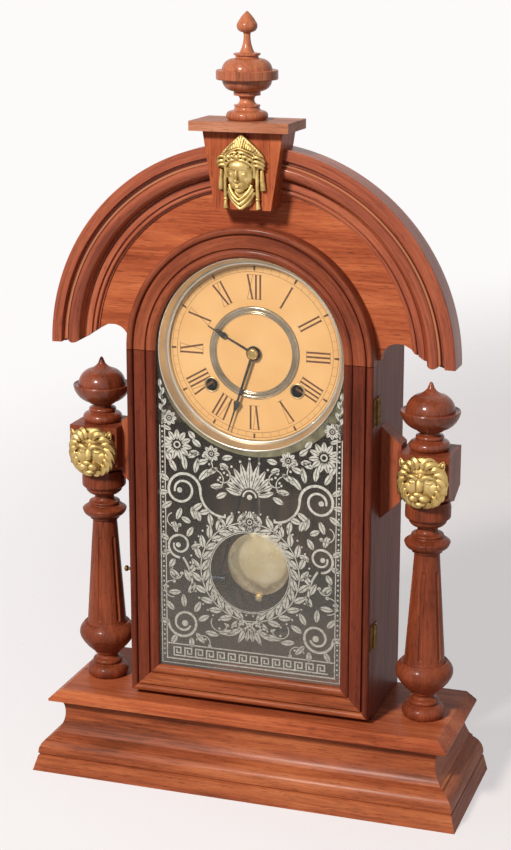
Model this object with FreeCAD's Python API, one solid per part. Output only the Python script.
# Kitchen shelf clock: moulded base, arched case, columns, glazed door, dial, movement and gong
import FreeCAD
import Part
import math
import os
from FreeCAD import Vector

# Driving dimensions, mm: +X right, front towards -Y, +Z up, origin under the middle of the base
base_w = 360.0
base_d = 124.0
base_h = 67.5
base_stock = 34.0
base_board = 8.0
case_hw = 101.0
case_wall = 9.0
case_setback = 41.5
case_rise = 293.0
case_rebate = 4.5
step_rise = 2.7
crown_drop = 6.5
back_t = 6.0
door_t = 13.1
door_gap = 0.6
door_foot = 4.7
frame_w = 24.0
rebate_s = 20.5
glass_t = 2.0
glass_set = 5.2
knob_set = 6.6
knob_rise = 107.8
hook_set = 16.5
pediment_w = 63.3
pediment_t = 23.0
panel_t = 8.0
rim_set = 1.5
rim_lap = 23.3
keystone_proud = 9.0
keystone_rise = 10.5
keystone_h = 58.8
cap_t = 7.3
bracket_w = 16.1
column_y = 3.0
block_w = 41.0
block_h = 41.0
shaft_rise = 181.5
dial_back = 5.3
dial_margin = 31.0
bezel_w = 7.3
pan_w = 7.2
paper_t = 0.3
pan_t = 0.6
eyelet_r = 6.3
eyelet_hole = 5.6
eyelet_t = 0.55
ring_clear = 1.63
plate_set = 14.9
plate_t = 1.5
plate_gap = 40.5
wind_out = 35.4
wind_drop = 28.0
verge_rise = 44.0
escape_drop = 19.0
pendulum_len = 221.5
fit = 0.06

# Planes and centres worked out from the driving dimensions
front_y = -base_d / 2
back_y = base_d / 2
board_z = base_h - base_board
case_y = front_y + case_setback
arch_z = base_h + case_rise
crown_z = arch_z + case_hw - crown_drop
door_back = case_y - door_gap
door_front = door_back - door_t
door_z = base_h + door_foot
glass_y = door_front + glass_set
panel_back = case_y + panel_t
rim_back = panel_back + rim_set
pediment_r = case_hw + pediment_w
pediment_y = rim_back - pediment_t
keystone_y = pediment_y - keystone_proud
keystone_top = arch_z + pediment_r + keystone_rise
keystone_z = keystone_top - keystone_h
column_x = case_hw + bracket_w + block_w / 2
block_z = base_h + shaft_rise
block_top = block_z + block_h
dial_y = case_y + dial_back
pan_y = dial_y + paper_t
pan_back = pan_y + pan_t
dial_r = case_hw - dial_margin
plate_y = pan_y + plate_set
back_plate_y = plate_y + plate_t + plate_gap
board_y = back_y - back_t
wind_x = wind_out
wind_z = arch_z - wind_drop
verge_z = arch_z + verge_rise


def place_xz(y, x0=0.0, z0=0.0):
    """Places a drawing (a, b) in the upright plane at depth y."""
    return lambda a, b: Vector(x0 + a, y, z0 + b)


def wire(points, place):
    """Closed wire: (a, b) ends a line, (mid_a, mid_b, a, b) ends an arc."""
    edges = []
    last = place(*points[0][-2:])
    for point in points[1:] + points[:1]:
        end = place(*point[-2:])
        if (end - last).Length > 1e-6:
            if len(point) == 4:
                edges.append(Part.Arc(last, place(*point[:2]), end).toShape())
            else:
                edges.append(Part.makeLine(last, end))
        last = end
    return Part.Wire(edges)


def prism(points, place, along):
    """Solid of a drawn outline pushed along a vector."""
    return Part.Face(wire(points, place)).extrude(along)


def box(x0, x1, y0, y1, z0, z1):
    return Part.makeBox(x1 - x0, y1 - y0, z1 - z0, Vector(x0, y0, z0))


def rod(r, y0, y1, x, z):
    """Cylinder along +Y."""
    return Part.makeCylinder(r, y1 - y0, Vector(x, y0, z), Vector(0, 1, 0))


def turned(points, x, y, z):
    """Turned piece: (radius, height) outline spun about an upright axis."""
    face = Part.Face(wire(points, place_xz(y, x, z)))
    return face.revolve(Vector(x, y, z), Vector(0, 0, 1), 360)


def ringed(points, x=0.0, z=None, turn=360):
    """Ring or dish: (radius, depth) outline spun about a front-to-back axis."""
    z = arch_z if z is None else z
    face = Part.Face(wire(points, lambda r, y: Vector(x + r, y, z)))
    return face.revolve(Vector(x, 0, z), Vector(0, -1, 0), turn)


def mirrored(shape):
    return shape.mirror(Vector(0, 0, 0), Vector(1, 0, 0))


def both(shape):
    """The piece on the right together with its twin on the left."""
    return Part.makeCompound([shape, mirrored(shape)])


def raised(outline, k):
    """The outline with its heights, and not its radii or depths, times k."""
    return [tuple(v * k if i % 2 else v for i, v in enumerate(point)) for point in outline]


def save(name, shape):
    shape.exportStep("parts/" + name + ".step")


os.makedirs("parts", exist_ok=True)


# Base: mitred front and side mouldings under a chamfered top board, with a rail behind
base_drawn = 59.5


def base_profile():
    outline = [(0, 0), (3.6, 12.4), (5.2, 13.2), (3.8, 14.8), (6.0, 22.6, 13.4, 28.0), (13.4, 29.6),
               (15.4, 30.2), (21.4, 43.5, 18.6, base_drawn), (base_stock, base_drawn), (base_stock, 0)]
    return raised(outline, board_z / base_drawn)


half_w = base_w / 2
inner_w = half_w - base_stock
inner_y = front_y + base_stock
up = Vector(0, 0, board_z)
front_plan = [(-half_w, front_y), (half_w, front_y), (inner_w, inner_y), (-inner_w, inner_y)]
side_plan = [(half_w, front_y), (half_w, back_y), (inner_w, back_y), (inner_w, inner_y)]
front_bar = prism(base_profile(), lambda d, z: Vector(-half_w, front_y + d, z), Vector(base_w, 0, 0))
side_bar = prism(base_profile(), lambda d, z: Vector(half_w - d, front_y, z), Vector(0, base_d, 0))
save("base_front", front_bar.common(prism(front_plan, lambda x, y: Vector(x, y, 0), up)))
save("base_returns", both(side_bar.common(prism(side_plan, lambda x, y: Vector(x, y, 0), up))))
save("base_back", box(-inner_w, inner_w, back_y - 10, back_y, 0, board_z))
edge, arris = 11.0, 19.5
board_front = [(front_y + edge, board_z), (front_y + edge, board_z + 1.9), (front_y + arris, base_h),
               (back_y, base_h), (back_y, board_z)]
board_side = [(edge - half_w, board_z), (edge - half_w, board_z + 1.9), (arris - half_w, base_h),
              (half_w - arris, base_h), (half_w - edge, board_z + 1.9), (half_w - edge, board_z)]
board = prism(board_front, lambda y, z: Vector(-half_w, y, z), Vector(base_w, 0, 0))
save("base_top", board.common(prism(board_side, place_xz(front_y), Vector(0, base_d, 0))))

# Hinge axis at the right-hand joint of door and case
hinge_x = case_hw + 1.2
hinge_y = case_y - door_gap / 2
hinge_spots = [(arch_z - 48.5, 22.0), (door_z + 57.0, 20.0)]


def knuckle(r, z, h):
    return Part.makeCylinder(r, h, Vector(hinge_x, hinge_y, z))


# Case: two sides, top board and backboard held in rebates
step_z = arch_z + step_rise
wall_x = case_hw - case_wall
side = box(wall_x, case_hw, case_y, back_y, base_h, step_z)
side = side.fuse(box(wall_x, case_hw, panel_back, back_y, step_z, crown_z)).removeSplitter()
side = side.cut(box(wall_x, case_hw - case_rebate, board_y, back_y, base_h, crown_z))
right_side = side
for spot_z, spot_h in hinge_spots:
    right_side = right_side.cut(knuckle(2.1, spot_z - 0.4, spot_h + 0.8))
knob_z = base_h + knob_rise
hook_y = case_y + hook_set
hook_shank = Part.makeCylinder(1.1, 9.4, Vector(-case_hw - 2.4, hook_y, knob_z), Vector(1, 0, 0))
save("case_side_left", mirrored(side).cut(hook_shank))
save("case_side_right", right_side)
save("case_top", box(-wall_x, wall_x, panel_back, board_y, crown_z - case_wall, crown_z))
pillar_spots = [(sx * x, arch_z + z) for sx in (-1, 1) for x, z in ((54, -58), (52, 46))]
backboard = box(case_rebate - case_hw, case_hw - case_rebate, board_y, back_y, base_h, crown_z)
for x, z in pillar_spots:
    backboard = backboard.cut(rod(1.6, board_y, back_y, x, z)).cut(rod(3.6, back_y - 1.6, back_y, x, z))
save("backboard", backboard)


# Pediment: flat panel inside a half-round arch moulding, both cut to the shaped lower edge
def pediment_waste():
    """Everything below the shaped lower edge of the right-hand end."""
    w = pediment_r
    outline = [(case_hw + 2.6, step_rise), (case_hw + 6, 12.2, case_hw + 15, 16.4), (case_hw + 20, 16.2),
               (case_hw + 31, 10.2), (w - 22.5, 3.4), (w - 18, 1.7, w - 13.4, 3.6), (w - 11.4, 5.8),
               (w - 9.6, 3.6), (w - 8.6, 2.0), (w - 1.8, 1.8), (w + 4, 3.4), (w + 4, -w - 4),
               (0, -w - 4), (0, step_rise)]
    return prism(outline, place_xz(-base_d, 0, arch_z), Vector(0, 2 * base_d, 0))


right_waste = pediment_waste()
rim = pediment_r
p0 = pediment_y
arch_profile = [(rim, rim_back), (rim, p0 + 1), (rim - 0.3, p0 + 0.3, rim - 1, p0), (rim - 7.1, p0),
                (rim - 7.5, p0 + 4.6), (rim - 10.6, p0 + 4.6), (rim - 11.0, p0 + 1.9),
                (rim - 12.2, p0 + 1.1, rim - 13.4, p0 + 1.9), (rim - 13.8, p0 + 2.6),
                (rim - 17.4, p0 - 0.9, rim - 21.8, p0 + 2.4), (rim - 22.4, p0 + 4.2),
                (rim - 26.2, p0 + 9.9, rim - 33.4, p0 + 8.0), (rim - 36.2, p0 + 7.8),
                (rim - 36.5, p0 + 10.2), (rim - 37.1, p0 + 10.2), (rim - 37.3, p0 + 9.2),
                (rim - 38.8, p0 + 8.3, rim - 40.3, p0 + 9.4), (rim - 41.0, case_y),
                (rim - rim_lap, case_y), (rim - rim_lap, rim_back)]
keystone = prism([(-22.4, keystone_z), (22.4, keystone_z), (31.7, keystone_top), (-31.7, keystone_top)],
                 place_xz(keystone_y), Vector(0, rim_back - keystone_y, 0))
panel = rod(rim - rim_lap, case_y, panel_back, 0, arch_z).cut(rod(wall_x, case_y, panel_back, 0, arch_z))
panel = panel.cut(right_waste).cut(mirrored(right_waste))
arch = ringed(arch_profile).cut(right_waste).cut(mirrored(right_waste)).cut(keystone)
save("pediment_panel", panel)
save("pediment_arch", arch)
save("keystone", keystone.cut(panel))
save("keystone_cap", box(-39, 39, keystone_y - 10.3, panel_back + 3.7, keystone_top, keystone_top + cap_t))

# Urn finial on the keystone cap
urn = [(0, 0), (13.2, 0), (15.8, 3.2, 13.2, 6.6), (11.2, 7.0), (9.6, 8.4, 9.4, 10.0), (9.9, 10.2),
       (9.9, 11.2), (7.4, 11.6), (5.7, 14.0, 6.3, 17.2), (7.0, 17.8), (10.1, 18.2), (10.1, 20.8),
       (9.6, 21.2), (16.4, 24.0, 18.8, 29.6), (22.8, 29.8), (23.3, 30.4), (23.3, 36.2), (22.8, 36.8),
       (19.0, 36.8), (17.0, 41.8, 10.0, 45.2), (8.6, 45.8), (8.6, 47.2), (10.0, 47.6), (10.0, 49.0),
       (5.6, 49.6), (3.4, 55.0, 2.6, 63.2), (3.2, 64.0), (5.2, 64.6), (7.75, 68.4, 6.5, 72.0),
       (4.8, 74.7, 2.6, 77.3), (0.9, 79.1), (0, 79.6)]
save("urn_finial", turned(urn, 0, pediment_y + 2.2, keystone_top + cap_t))

# Columns: turned foot and fluted shaft under a square block that is part of the same timber
column_drawn = 181.5
column = [(0, 0), (15.0, 0), (17.4, 5.2, 14.4, 10.2), (12.6, 10.8), (11.3, 11.5), (12.4, 13.5, 11.1, 15.5),
          (9.9, 16.0), (8.7, 18.1, 9.7, 20.1), (10.9, 20.7), (11.2, 22.0), (18.2, 28.6, 22.0, 34.2),
          (23.2, 39.4, 21.0, 45.0), (19.0, 47.4), (16.9, 46.8), (16.2, 49.0), (10.0, 139.0), (12.2, 139.6),
          (12.2, 141.6), (16.6, 143.8, 18.0, 146.8), (18.3, 147.7, 17.8, 148.6), (14.6, 150.8),
          (12.6, 151.2), (12.1, 152.0), (12.9, 153.2, 11.6, 154.6), (9.6, 155.0), (8.2, 157.2, 8.2, 160.4),
          (12.4, 161.6, 14.8, 164.2), (14.8, 165.6), (15.6, 166.0), (15.6, 166.8),
          (17.4, 167.6, 18.1, 169.6), (18.1, 176.5), (17.0, column_drawn), (0, column_drawn)]
column_k = shaft_rise / column_drawn
flute_low, flute_high = 53.0 * column_k, 123.0 * column_k


def shaft_r(z):
    """Radius of the tapered shaft at a height above the foot."""
    return 16.2 - (z / column_k - 49.0) * 6.2 / 90.0


def flute():
    """Round-ended cutter that leans with the taper of the shaft."""
    ends = [Vector(0, -shaft_r(z) - 1.1, z) for z in (flute_low, flute_high)]
    run = ends[1] - ends[0]
    cutter = Part.makeCylinder(2.3, run.Length, ends[0], run)
    for end in ends:
        cutter = cutter.fuse(Part.makeSphere(2.3, end))
    return cutter


def square_block():
    """Square block whose lower corners are cut away towards the round shaft."""
    b = block_w / 2
    block = box(-b, b, -b, b, 0, block_h)
    for turn in range(4):
        wedge = prism([(b * 0.62, 0), (b * 1.5, 0), (b * 1.5, 10.0)],
                      lambda a, z: Vector(a, -block_w, z), Vector(0, 2 * block_w, 0))
        wedge.rotate(Vector(0, 0, 0), Vector(0, 0, 1), 45 + 90 * turn)
        block = block.cut(wedge)
    return block


post = turned(raised(column, column_k), 0, 0, 0)
for turn in range(6):
    cutter = flute()
    cutter.rotate(Vector(0, 0, 0), Vector(0, 0, 1), 60 * turn)
    post = post.cut(cutter)
block = square_block()
block.translate(Vector(0, 0, shaft_rise))
post = post.fuse(block).removeSplitter()
post.translate(Vector(column_x, column_y, base_h))
save("column_right", post)
save("column_left", mirrored(post))

# Column finials: turned caps on the blocks
cap = [(0, 0), (13.8, 0), (16.1, 3.8, 13.6, 7.4), (11.6, 7.9), (10.3, 8.6), (11.2, 10.4, 10.0, 12.0),
       (8.6, 12.4), (7.6, 13.6, 8.6, 14.8), (10.6, 15.4), (11.2, 16.4), (19.6, 21.8, 23.2, 28.6),
       (23.6, 30.4), (23.2, 31.4), (21.2, 30.4, 19.4, 30.4), (17.4, 38.0, 11.2, 43.4), (5.6, 46.0, 3.0, 48.6),
       (1.9, 51.4), (1.2, 53.2), (0, 54.0)]
save("column_finials", both(turned(cap, column_x, column_y, block_top)))

# Brackets between the case sides and the blocks
block_x = column_x - block_w / 2
bracket = [(case_hw, block_z - 16.5), (block_x, block_z - 1), (block_x, block_top),
           (block_x, block_top + 3.5), (case_hw, block_top + 17.5)]
save("brackets", both(prism(bracket, place_xz(column_y - 9), Vector(0, 18, 0))))


# Gilt masks: lions on the blocks and a lady on the keystone, with their main masses only
def dome(x, z, y, r, deep):
    """Round boss that stands on the plane at depth y."""
    return ringed([(0, y), (r, y), (r * 0.74, y - deep * 0.74, r * 0.2, y - deep), (0, y - deep)], x, z)


def lion_mask():
    y = column_y - block_w / 2
    z = block_z + block_h / 2 - 1.5
    lobes = 12
    mane = []
    for i in range(lobes):
        a = 2 * math.pi * (i - 0.5) / lobes
        b = a + math.pi / lobes
        end = b + math.pi / lobes
        mane.append((21.2 * math.sin(b), 21.2 * math.cos(b), 17.8 * math.sin(end), 17.8 * math.cos(end)))
    mask = prism(mane, place_xz(y, column_x, z), Vector(0, -4.5, 0))
    mask = mask.fuse(dome(column_x, z + 1, y - 4.4, 16.0, 5.0))
    return mask.fuse(dome(column_x, z - 6, y - 4.4, 9.0, 8.4))


def lady_mask():
    z = keystone_z
    outline = [(-11, 0.5), (0, -2.4, 11, 0.5), (18.5, 3), (19.5, 22), (17, 38, 9, 48), (0, 57), (-9, 48),
               (-17, 38, -19.5, 22), (-18.5, 3)]
    mask = prism(outline, place_xz(keystone_y, 0, z), Vector(0, -4.5, 0))
    head = turned([(0, 0), (5, 1.5), (9.6, 14, 7.6, 27), (5, 31, 0, 33)], 0, keystone_y - 3.5, z + 8)
    front = box(-30, 30, keystone_y - 30, keystone_y - 4, z - 10, z + 80)
    return mask.fuse(head.common(front))


save("lion_masks", both(lion_mask()))
save("lady_mask", lady_mask())

# Door: moulded frame with two half arches, two stiles and a bottom rail, mitred at the foot
frame_profile = [(0, door_back), (0, door_front + 2.8), (2.6, door_front, 5.2, door_front + 2.9),
                 (5.5, door_front + 3.9), (6.2, door_front + 3.9), (6.5, door_front + 1.4),
                 (15.6, door_front + 1.4), (15.9, door_front + 3.5), (16.7, door_front + 3.5),
                 (17.0, door_front + 2.2), (20.6, door_front + 0.9, frame_w, door_front + 3.6),
                 (frame_w, glass_y), (rebate_s, glass_y), (rebate_s, door_back)]


def framed(profile):
    """The profile along the right stile, over the right half arch and along the foot."""
    stile = prism(profile, lambda s, y: Vector(case_hw - s, y, door_z), Vector(0, 0, arch_z - door_z))
    rail = prism(profile, lambda s, y: Vector(-case_hw, y, door_z + s), Vector(2 * case_hw, 0, 0))
    mitre = prism([(-case_hw, 0), (case_hw, 0), (case_hw - 60, 60), (60 - case_hw, 60)],
                  place_xz(-base_d, 0, door_z), Vector(0, 2 * base_d, 0))
    bow = ringed([(case_hw - s[-2],) + s[-1:] if len(s) == 2 else
                  (case_hw - s[0], s[1], case_hw - s[2], s[3]) for s in profile], turn=90)
    return stile.cut(mitre), rail.common(mitre), bow


stile, rail, bow = framed(frame_profile)
joint_groove = prism([(door_front - 1, arch_z - 1.3), (door_front - 1, arch_z), (door_front + 4.4, arch_z)],
                     lambda y, z: Vector(-case_hw, y, z), Vector(2 * case_hw, 0, 0))
stile = stile.cut(joint_groove)
knob_y = door_front + knob_set
knob_hole = Part.makeCylinder(1.1, 8, Vector(-case_hw, knob_y, knob_z), Vector(1, 0, 0))
right_stile = stile
for spot_z, spot_h in hinge_spots:
    right_stile = right_stile.cut(knuckle(2.1, spot_z - 0.4, spot_h + 0.8))
save("door_stile_right", right_stile)
save("door_stile_left", mirrored(stile).cut(knob_hole))
save("door_rail", rail)
save("door_arch", both(bow))
pane_hw = case_hw - rebate_s - 0.2
pane = box(-pane_hw, pane_hw, glass_y, glass_y + glass_t, case_hw - pane_hw + door_z, arch_z)
save("glass", pane.fuse(rod(pane_hw, glass_y, glass_y + glass_t, 0, arch_z)).removeSplitter())
strip_y = glass_y + glass_t
strip_profile = [(rebate_s, strip_y), (rebate_s + 2.2, strip_y), (rebate_s, strip_y + 3)]
strip_stile, strip_rail, strip_bow = framed(strip_profile)
strip = strip_stile.fuse([mirrored(strip_stile), strip_rail, strip_bow, mirrored(strip_bow)])
save("glazing_strip", strip.removeSplitter())


# Butt hinges: leaves on the edges of door and case, with pins fixed in the middle knuckles
def hinge_leaf(z, h, on_door):
    third = h / 3
    if on_door:
        leaf = box(case_hw, case_hw + 0.8, hinge_y - 8.8, hinge_y - 0.5, z, z + h)
        leaf = leaf.cut(knuckle(2.1, z + third - 0.3, third + 0.6))
        ends = knuckle(1.8, z, third - 0.15).fuse(knuckle(1.8, z + 2 * third + 0.15, third - 0.15))
        return leaf.fuse(ends).cut(knuckle(0.9, z - 1, h + 2))
    leaf = box(case_hw, case_hw + 0.8, hinge_y + 0.5, hinge_y + 8.8, z, z + h)
    for low in (z - 0.3, z + 2 * third - 0.3):
        leaf = leaf.cut(knuckle(2.1, low, third + 0.6))
    return leaf.fuse([knuckle(1.8, z + third + 0.15, third - 0.3), knuckle(0.8, z, h)])


save("hinges_door", Part.makeCompound([hinge_leaf(z, h, True) for z, h in hinge_spots]))
save("hinges_case", Part.makeCompound([hinge_leaf(z, h, False) for z, h in hinge_spots]))

# Catch: knob on the left edge of the door and a hook that swings over it from the case
knob = [(0, -7), (1.08, -7), (1.08, 0), (2.0, 0), (2.0, 0.5), (1.08, 0.8), (1.08, 3.4),
        (2.4, 4.6, 1.6, 6.4), (0, 6.8)]
knob_face = Part.Face(wire(knob, lambda r, d: Vector(-case_hw - d, knob_y + r, knob_z)))
save("door_knob", knob_face.revolve(Vector(0, knob_y, knob_z), Vector(1, 0, 0), 360))
reach = hook_y - knob_y
hook_outline = [(2.4, -2.2), (2.4, 2.2), (-reach + 5, 1.6), (-reach + 3.6, 4.6), (-reach - 3.4, 4.6),
                (-reach - 4.6, 0), (-reach - 3.4, -2.2), (-reach - 1.5, -2.2), (-reach - 1.5, 1.5),
                (-reach + 1.5, 1.5), (-reach + 1.5, -1.6)]
hook = prism(hook_outline, lambda y, z: Vector(-case_hw - 1.0, hook_y + y, knob_z + z), Vector(-1.2, 0, 0))
hook = hook.cut(Part.makeCylinder(1.1 + fit, 9, Vector(-case_hw - 5, hook_y, knob_z), Vector(1, 0, 0)))
hook.rotate(Vector(0, hook_y, knob_z), Vector(1, 0, 0), 90)
save("door_hook", hook)
hook_head = Part.makeCylinder(2.2, 1.0, Vector(-case_hw - 3.4, hook_y, knob_z), Vector(1, 0, 0))
screws = [hook_head.fuse(hook_shank)]

# Dial: zinc pan with paper, dished bezel, centre ring and eyelets
bezel_r = dial_r + bezel_w
pan_r = bezel_r + pan_w
screw_lean = math.radians(41.75)
screw_x = (pan_r - 3.4) * math.cos(screw_lean)
screw_z = (pan_r - 3.4) * math.sin(screw_lean)
screw_spots = [(sx * screw_x, arch_z + sz * screw_z) for sx in (-1, 1) for sz in (-1, 1)]
pan = rod(pan_r, pan_y, pan_back, 0, arch_z)
paper = rod(dial_r, dial_y, pan_y, 0, arch_z).cut(rod(3.8, dial_y, pan_y, 0, arch_z))
pan = pan.cut(rod(3.8, pan_y - 1, pan_y + 1, 0, arch_z))
for x in (-wind_x, wind_x):
    paper = paper.cut(rod(eyelet_hole, dial_y - 1, pan_y + 1, x, wind_z))
    pan = pan.cut(rod(eyelet_hole, pan_y - 1, pan_y + 1, x, wind_z))
block_low = arch_z + screw_z - 6
dial_block = box(screw_x - 4.5, wall_x, pan_back, pan_y + 12, block_low, block_low + 13)
blocks = [dial_block, mirrored(dial_block)]
blocks += [b.mirror(Vector(0, 0, arch_z), Vector(0, 0, 1)) for b in blocks]
for x, z in screw_spots:
    hole = rod(1.1, pan_y - 1, pan_y + 9, x, z)
    pan = pan.cut(hole)
    blocks = [b.cut(hole).cut(panel) for b in blocks]
    screws.append(rod(2.2, pan_y - 1.1, pan_y, x, z).fuse(rod(1.08, pan_y - 0.1, pan_y + 8.6, x, z)))
save("dial_pan", pan)
save("paper_dial", paper)
save("dial_blocks", Part.makeCompound(blocks))
lip = dial_y - 10.8
bezel = [(bezel_r, pan_y), (bezel_r, lip + 0.8), (bezel_r - 0.7, lip - 0.1, bezel_r - 1.6, lip + 0.6),
         (dial_r + 2.4, dial_y - 3.4), (dial_r + 1.4, dial_y - 3.8, dial_r + 0.3, dial_y - 2.6),
         (dial_r + 0.3, pan_y), (dial_r + 1.2, pan_y), (dial_r + 1.2, dial_y - 2.4),
         (dial_r + 2.9, dial_y - 2.4), (bezel_r - 1.2, lip + 1.9), (bezel_r - 0.8, lip + 1.9),
         (bezel_r - 0.8, pan_y)]
save("bezel", ringed(bezel))
ring_out = math.hypot(wind_x, arch_z - wind_z) - eyelet_r - ring_clear
ring_in = ring_out - 6.2
save("centre_ring", ringed([(ring_in, dial_y), (ring_in, dial_y - 0.3), (ring_in + 0.6, dial_y - 0.95,
                            ring_in + 1.2, dial_y - 0.4), (ring_in + 1.8, dial_y - 0.95,
                            ring_in + 2.4, dial_y - 0.4), (ring_in + 3.2, dial_y - 0.4),
                            (ring_in + 4.7, dial_y - 1.4, ring_out, dial_y - 0.3), (ring_out, dial_y)]))
tube_r = eyelet_hole - fit
bore_r = tube_r - eyelet_t
eyelet = [(bore_r, pan_y + 1.2), (bore_r, dial_y - 0.4), (bore_r + 0.6, dial_y - 0.8, eyelet_r, dial_y),
          (tube_r, dial_y), (tube_r, pan_y + 1.2)]
save("eyelets", both(ringed(eyelet, wind_x, wind_z)))


# Wheel work: toothed wheels and pinions drawn by their teeth
def toothed(n, module, y0, y1, x, z, lean, root_share, tip_share):
    """Wheel or pinion with n tapered teeth, one of them pointing along the angle lean."""
    r = n * module / 2
    step = 2 * math.pi / n
    corners = []
    for i in range(n):
        for radius, share in ((r - 1.3 * module, -root_share), (r + module, -tip_share),
                              (r + module, tip_share), (r - 1.3 * module, root_share)):
            a = lean + (i + share) * step
            corners.append((radius * math.cos(a), radius * math.sin(a)))
    return prism(corners, place_xz(y0, x, z), Vector(0, y1 - y0, 0))


def wheel(n, module, y0, y1, x, z, lean):
    """Toothed wheel crossed out to four arms."""
    r = n * module / 2
    disc = toothed(n, module, y0, y1, x, z, lean, 0.27, 0.11)
    opening = rod(r * 0.8, y0, y1, x, z).cut(rod(max(r * 0.25, 4.4), y0, y1, x, z))
    arm = r * 0.07 + 0.8
    for a, b in ((r, arm), (arm, r)):
        opening = opening.cut(box(x - a, x + a, y0, y1, z - b, z + b))
    return disc.cut(opening)


def pinion(n, module, y0, y1, x, z, lean):
    return toothed(n, module, y0, y1, x, z, lean, 0.2, 0.09)


def meet(from_x, from_z, to_x, to_z):
    """Angle from one arbor towards another."""
    return math.atan2(to_z - from_z, to_x - from_x)


def beside(x0, z0, d0, x1, z1, d1, hand):
    """Arbor at distance d0 from the first and d1 from the second, on one side of their line."""
    span = math.hypot(x1 - x0, z1 - z0)
    along = (d0 * d0 - d1 * d1 + span * span) / (2 * span)
    off = hand * math.sqrt(d0 * d0 - along * along)
    ux, uz = (x1 - x0) / span, (z1 - z0) / span
    return x0 + along * ux - off * uz, z0 + along * uz + off * ux


pin_r = 1.2
wind_r = 2.5
centre_r = 2.2
great_m, second_m, centre_m, third_m = 1.25, 1.0, 0.9, 0.8
great_n, second_n, centre_n, third_n = 48, 40, 44, 42
leaf_n, escape_leaf_n = 8, 7
second_x, second_z = beside(wind_x, wind_z, great_m * (great_n + leaf_n) / 2, 0, arch_z,
                            second_m * (second_n + leaf_n) / 2, -1)
escape_z = verge_z - escape_drop
third_x, third_z = beside(0, arch_z, centre_m * (centre_n + leaf_n) / 2, 0, escape_z,
                          third_m * (third_n + escape_leaf_n) / 2, 1)
hammer_x, hammer_z = -8.0, arch_z - 48.0
arbors = {"second": (second_x, second_z, pin_r), "third": (third_x, third_z, pin_r),
          "escape": (0, escape_z, pin_r), "centre": (0, arch_z, centre_r), "verge": (0, verge_z, pin_r),
          "time": (wind_x, wind_z, wind_r), "strike": (-wind_x, wind_z, wind_r),
          "hammer": (hammer_x, hammer_z, pin_r)}
inside_y = plate_y + plate_t
escape_y = inside_y + 1.5
third_y = escape_y + 3.0
centre_y = third_y + 5.0
second_y = centre_y + 5.0
great_y = second_y + 5.5
spring_y = great_y + 4.0
wheel_t = 1.2

# Plates and pillars, with a slit post for the suspension spring on the front plate
stud_lean = math.radians(-20)
motion_d = 16.8
stud_x, stud_z = motion_d * math.cos(stud_lean), arch_z + motion_d * math.sin(stud_lean)


def plate(y):
    blank = box(-60, 60, y, y + plate_t, arch_z - 64, arch_z + 53)
    blank = blank.makeFillet(6, [e for e in blank.Edges if abs(e.tangentAt(0).y) > 0.9])
    for x0, x1, z0, z1 in ((-13, 13, -41, -14), (34, 50, -2, 36), (-50, -34, -2, 36)):
        blank = blank.cut(box(x0, x1, y, y + plate_t, arch_z + z0, arch_z + z1))
    for x, z, r in arbors.values():
        blank = blank.cut(rod(r + fit, y, y + plate_t, x, z))
    for x, z in pillar_spots:
        blank = blank.cut(rod(2.0, y, y + plate_t, x, z))
    return blank


post = box(-4, 4, plate_y - 5.5, plate_y, verge_z + 2, verge_z + 8.5)
post = post.cut(box(-1, 1, plate_y - 6, plate_y - 1, verge_z + 1, verge_z + 7))
stud = rod(pin_r, plate_y - 12, plate_y + 0.5, stud_x, stud_z)
save("front_plate", plate(plate_y).fuse([post, stud]))
save("back_plate", plate(back_plate_y))
pillar_r = 3.4
pillars = []
for x, z in pillar_spots:
    pillar = rod(pillar_r, inside_y, back_plate_y, x, z).fuse(rod(2.0, plate_y - 2.6, board_y - 5, x, z))
    pillar = pillar.fuse([rod(3.2, plate_y - 2.2, plate_y, x, z),
                          rod(5, back_plate_y + plate_t, board_y, x, z)])
    pillars.append(pillar.cut(rod(1.62, board_y - 9, board_y, x, z)))
    shank = rod(1.58, board_y - 8.6, back_y - 1, x, z)
    screws.append(shank.fuse(rod(3.5, back_y - 1.5, back_y, x, z)))
save("pillars", Part.makeCompound(pillars))
save("screws", Part.makeCompound(screws))


def arbor(name, y0, y1):
    x, z, r = arbors[name]
    return rod(r, y0, y1, x, z)


# Winding arbors with square ends and ratchets, the great wheels that run on them, and the mainsprings
def winding_arbor(name):
    x, z, r = arbors[name]
    shaft = arbor(name, plate_y - 4, back_plate_y + 3)
    square = box(x - 1.75, x + 1.75, dial_y + 2.5, plate_y - 3.5, z - 1.75, z + 1.75)
    teeth = 14
    saw = []
    for i in range(teeth):
        a = 2 * math.pi * i / teeth
        b = a + 2 * math.pi * 0.9 / teeth
        saw += [(9.0 * math.cos(a), 9.0 * math.sin(a)), (7.2 * math.cos(b), 7.2 * math.sin(b))]
    return shaft.fuse([square, prism(saw, place_xz(great_y - 3.2, x, z), Vector(0, 2, 0))])


def great_wheel(name, lean):
    x, z, r = arbors[name]
    disc = wheel(great_n, great_m, great_y, great_y + 1.5, x, z, lean)
    return disc.cut(rod(r + fit, great_y - 1, great_y + 3, x, z))


def spiral(x, z, r0, pitch, halves, thick, y0, y1, start):
    """Wound strip drawn in half turns about two centres."""
    shift = (pitch / 2 * math.cos(start), pitch / 2 * math.sin(start))

    def wall(off):
        points = [((r0 + off) * math.cos(start), (r0 + off) * math.sin(start))]
        for i in range(halves):
            cx, cz = shift if i % 2 else (0, 0)
            r = r0 + off + i * pitch / 2
            a = start + math.pi * (i + 0.5)
            b = a + math.pi / 2
            points.append((cx + r * math.cos(a), cz + r * math.sin(a),
                           cx + r * math.cos(b), cz + r * math.sin(b)))
        return points

    inner = wall(0)
    back = [inner[i][:2] + inner[i - 1][-2:] for i in range(halves, 0, -1)]
    return prism(wall(thick) + [inner[-1][-2:]] + back, place_xz(y0, x, z), Vector(0, y1 - y0, 0))


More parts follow.
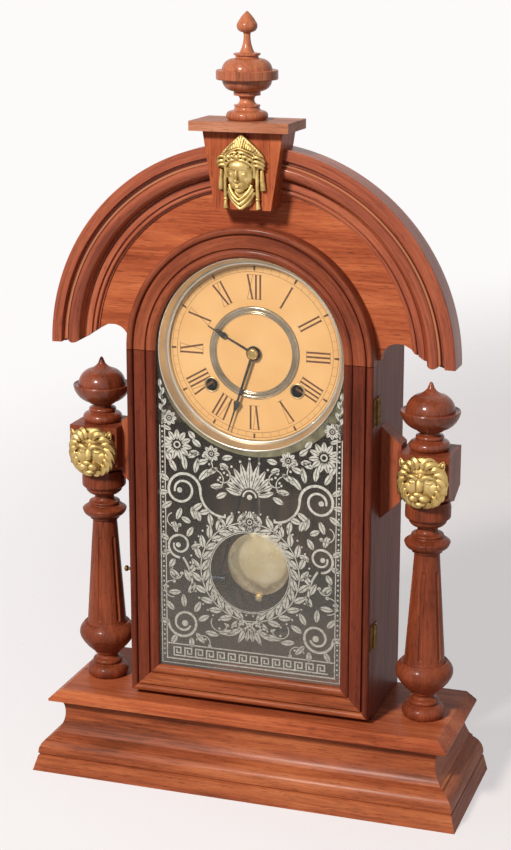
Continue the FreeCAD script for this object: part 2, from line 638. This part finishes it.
save("time_winding_arbor", winding_arbor("time"))
save("strike_winding_arbor", winding_arbor("strike"))
save("time_great_wheel", great_wheel("time", meet(wind_x, wind_z, second_x, second_z)))
save("strike_great_wheel", great_wheel("strike", 0))
spring_end = back_plate_y - 2
spring_t = 1.2
spring_in = wind_r + 0.7
spring_turns = 7
hold_x, hold_z = pillar_spots[2]
spring_reach = math.hypot(hold_x - wind_x, hold_z - wind_z) - pillar_r - spring_t + 0.05
spring = spiral(wind_x, wind_z, spring_in, (spring_reach - spring_in) / spring_turns, 2 * spring_turns,
                spring_t, spring_y, spring_end, meet(wind_x, wind_z, hold_x, hold_z))
save("mainsprings", both(spring))

# Time train: second, centre, third and escape arbors
half_leaf = math.pi / leaf_n
to_great = meet(second_x, second_z, wind_x, wind_z)
to_centre = meet(second_x, second_z, 0, arch_z)
second = arbor("second", plate_y - 0.5, back_plate_y + 2)
second = second.fuse([wheel(second_n, second_m, second_y, second_y + wheel_t, second_x, second_z, to_centre),
                      pinion(leaf_n, great_m, great_y - 1.5, great_y + 3, second_x, second_z,
                             to_great + half_leaf)])
save("second_wheel", second)
to_third = meet(0, arch_z, third_x, third_z)
centre = arbor("centre", dial_y - 6.2, back_plate_y + 2)
centre = centre.fuse([wheel(centre_n, centre_m, centre_y, centre_y + wheel_t, 0, arch_z, to_third),
                      pinion(leaf_n, second_m, second_y - 1.5, second_y + 2.7, 0, arch_z,
                             to_centre + math.pi + half_leaf),
                      pinion(12, 0.7, plate_y - 8, plate_y - 5.4, 0, arch_z, stud_lean)])
save("centre_wheel", centre)
to_escape = meet(third_x, third_z, 0, escape_z)
third = arbor("third", plate_y - 0.5, back_plate_y + 2)
third = third.fuse([wheel(third_n, third_m, third_y, third_y + wheel_t, third_x, third_z, to_escape),
                    pinion(leaf_n, centre_m, centre_y - 1.5, centre_y + 2.7, third_x, third_z,
                           to_third + math.pi + half_leaf)])
save("third_wheel", third)
escape_r = 14.0
escape_n = 24
spikes = []
for i in range(escape_n):
    a = 2 * math.pi * i / escape_n
    b = a + 2 * math.pi * 0.55 / escape_n
    spikes += [(escape_r * math.cos(a), escape_r * math.sin(a)), (11.2 * math.cos(b), 11.2 * math.sin(b))]
escape = prism(spikes, place_xz(escape_y, 0, escape_z), Vector(0, wheel_t, 0))
escape_end = escape_y + wheel_t
opening = rod(9.4, escape_y, escape_end, 0, escape_z).cut(rod(4, escape_y, escape_end, 0, escape_z))
for a, b in ((10, 1.2), (1.2, 10)):
    opening = opening.cut(box(-a, a, escape_y, escape_end, escape_z - b, escape_z + b))
escape = escape.cut(opening).fuse([
    arbor("escape", plate_y - 0.5, back_plate_y + 2),
    pinion(escape_leaf_n, third_m, third_y - 1.2, third_y + 2.6, 0, escape_z,
           to_escape + math.pi + math.pi / escape_leaf_n)])
save("escape_wheel", escape)

# Verge: bent strip over the escape wheel, with the crutch fork that drives the pendulum rod
rod_y = plate_y - 3.0
verge_outline = [(-2.6, -1.5), (-8.6, -5.0), (-10.4, -7.4), (-11.8, -6.4), (-9.6, -2.6), (-2.4, 2.4),
                 (2.4, 2.4), (9.6, -2.6), (11.8, -6.4), (10.4, -7.4), (8.6, -5.0), (2.6, -1.5)]
verge = prism(verge_outline, place_xz(escape_y - 0.2, 0, verge_z), Vector(0, 1.6, 0))
fork_z = verge_z - 14.0
crutch = Part.makeCylinder(0.6, 14.0, Vector(0, plate_y - 1.1, fork_z))
fork = box(-2, 2, rod_y - 2, plate_y - 0.5, fork_z - 1, fork_z + 1)
fork = fork.cut(box(-1.2, 1.2, rod_y - 3, rod_y + 1.2, fork_z - 2, fork_z + 2))
save("verge", verge.fuse([arbor("verge", plate_y - 1.8, back_plate_y + 2), crutch, fork]))

# Pendulum: suspension spring and rod, bent round the centre arbor, with bob and rating nut
bob_z = verge_z - pendulum_len
bob_r = 26.5
nut_z = bob_z - bob_r - 4.2
rod_r = 0.8
bend = -8.0
route = [(0, verge_z - 9), (0, verge_z - 19), (bend, verge_z - 32), (bend, verge_z - 57), (0, verge_z - 72),
         (0, nut_z - 3)]
hanger = box(-0.25, 0.25, rod_y - 1.2, rod_y + 0.8, verge_z - 11, verge_z + 5.5)
for (xa, za), (xb, zb) in zip(route, route[1:]):
    start, run = Vector(xa, rod_y, za), Vector(xb - xa, 0, zb - za)
    hanger = hanger.fuse([Part.makeCylinder(rod_r, run.Length, start, run), Part.makeSphere(rod_r, start)])
save("pendulum_rod", hanger)
bob_t = 11.0
bob_front, bob_back = rod_y - bob_t / 2, rod_y + bob_t / 2
bob = ringed([(0, bob_front), (4, bob_front), (bob_r * 0.64, rod_y - bob_t * 0.38, bob_r, rod_y - 1.2),
              (bob_r, rod_y + 1.2), (bob_r * 0.64, rod_y + bob_t * 0.38, 4, bob_back), (0, bob_back)],
             0, bob_z)
save("bob", bob.cut(Part.makeCylinder(rod_r, 4 * bob_r, Vector(0, rod_y, bob_z - 2 * bob_r))))
nut = turned([(rod_r, 0), (4.2, 0), (4.2, 3), (2.6, 4.2), (rod_r, 4.2)], 0, rod_y, nut_z)
save("rating_nut", nut)

# Motion work: minute wheel on its stud, hour wheel with its pipe, hands and nut
minute_n, minute_leaf_n, hour_n = 36, 10, 40
hour_m = 2 * motion_d / (minute_leaf_n + hour_n)
minute = wheel(minute_n, 0.7, plate_y - 7.4, plate_y - 6.2, stud_x, stud_z,
               stud_lean + math.pi + math.pi / minute_n)
minute = minute.fuse([rod(2.2, plate_y - 11.4, plate_y - 5, stud_x, stud_z),
                      pinion(minute_leaf_n, hour_m, plate_y - 11.4, plate_y - 8.8, stud_x, stud_z,
                             stud_lean + math.pi)])
save("minute_wheel", minute.cut(rod(pin_r + fit, plate_y - 12, plate_y, stud_x, stud_z)))
hour_y = dial_y - 2.6
hour = wheel(hour_n, hour_m, plate_y - 10.8, plate_y - 9.6, 0, arch_z, stud_lean + math.pi / hour_n)
hour = hour.fuse(rod(3.2, hour_y, plate_y - 9.2, 0, arch_z))
save("hour_wheel", hour.cut(rod(centre_r + fit, hour_y - 1, plate_y - 8, 0, arch_z)))
hour_at = math.radians(-62.5)
minute_at = math.radians(198.0)


def hand(length, bulb, stem, y, bore, angle):
    """Slender hand with a drop-shaped swelling and a pointed tip, turned clockwise from twelve."""
    at = place_xz(y, 0, arch_z)
    deep = Vector(0, 0.7, 0)
    blade = prism([(-stem, 0), (stem, 0), (stem * 0.7, bulb), (0.35, length), (-0.35, length),
                   (-stem * 0.7, bulb)], at, deep)
    drop = prism([(-2.6, bulb), (0, bulb - 2.6, 2.6, bulb), (0, bulb + 9)], at, deep)
    blade = blade.fuse([drop, rod(bore + 2.7, y, y + 0.7, 0, arch_z)])
    blade = blade.cut(rod(bore, y - 1, y + 2, 0, arch_z))
    blade.rotate(Vector(0, 0, arch_z), Vector(0, 1, 0), math.degrees(angle))
    return blade


minute_y = hour_y - 1.6
save("hour_hand", hand(42.4, 28.0, 0.9, hour_y, 3.2, hour_at))
save("minute_hand", hand(66.5, 43.0, 1.2, minute_y, centre_r, minute_at))
save("hand_nut", ringed([(centre_r, minute_y), (centre_r, minute_y - 1.9),
                         (3.8, minute_y - 1.6, 4.4, minute_y - 0.5), (4.4, minute_y)]))

# Strike: hammer on its own arbor, wound gong and the iron block that holds it
gong_z = base_h + 82.5
gong_y = back_plate_y - 3.0
gong_r = 42.0
hammer_wire_y = gong_y + 1.5
head_x = -gong_r - 8.0
hammer = arbor("hammer", plate_y - 0.5, back_plate_y + 2)
pull = Vector(head_x - hammer_x, 0, gong_z - hammer_z)
hammer = hammer.fuse([Part.makeCylinder(0.9, pull.Length, Vector(hammer_x, hammer_wire_y, hammer_z), pull),
                      Part.makeCylinder(4, 12, Vector(head_x - 6, hammer_wire_y, gong_z), Vector(1, 0, 0))])
save("hammer", hammer)
coil = spiral(0, gong_z, 14, (gong_r - 16) / 3, 7, 2.0, gong_y, gong_y + 3, math.pi)
gong_block = box(gong_r - 8, gong_r + 12, gong_y - 4, board_y, gong_z - 13, gong_z + 13)
save("gong", coil)
save("gong_block", gong_block.cut(coil))
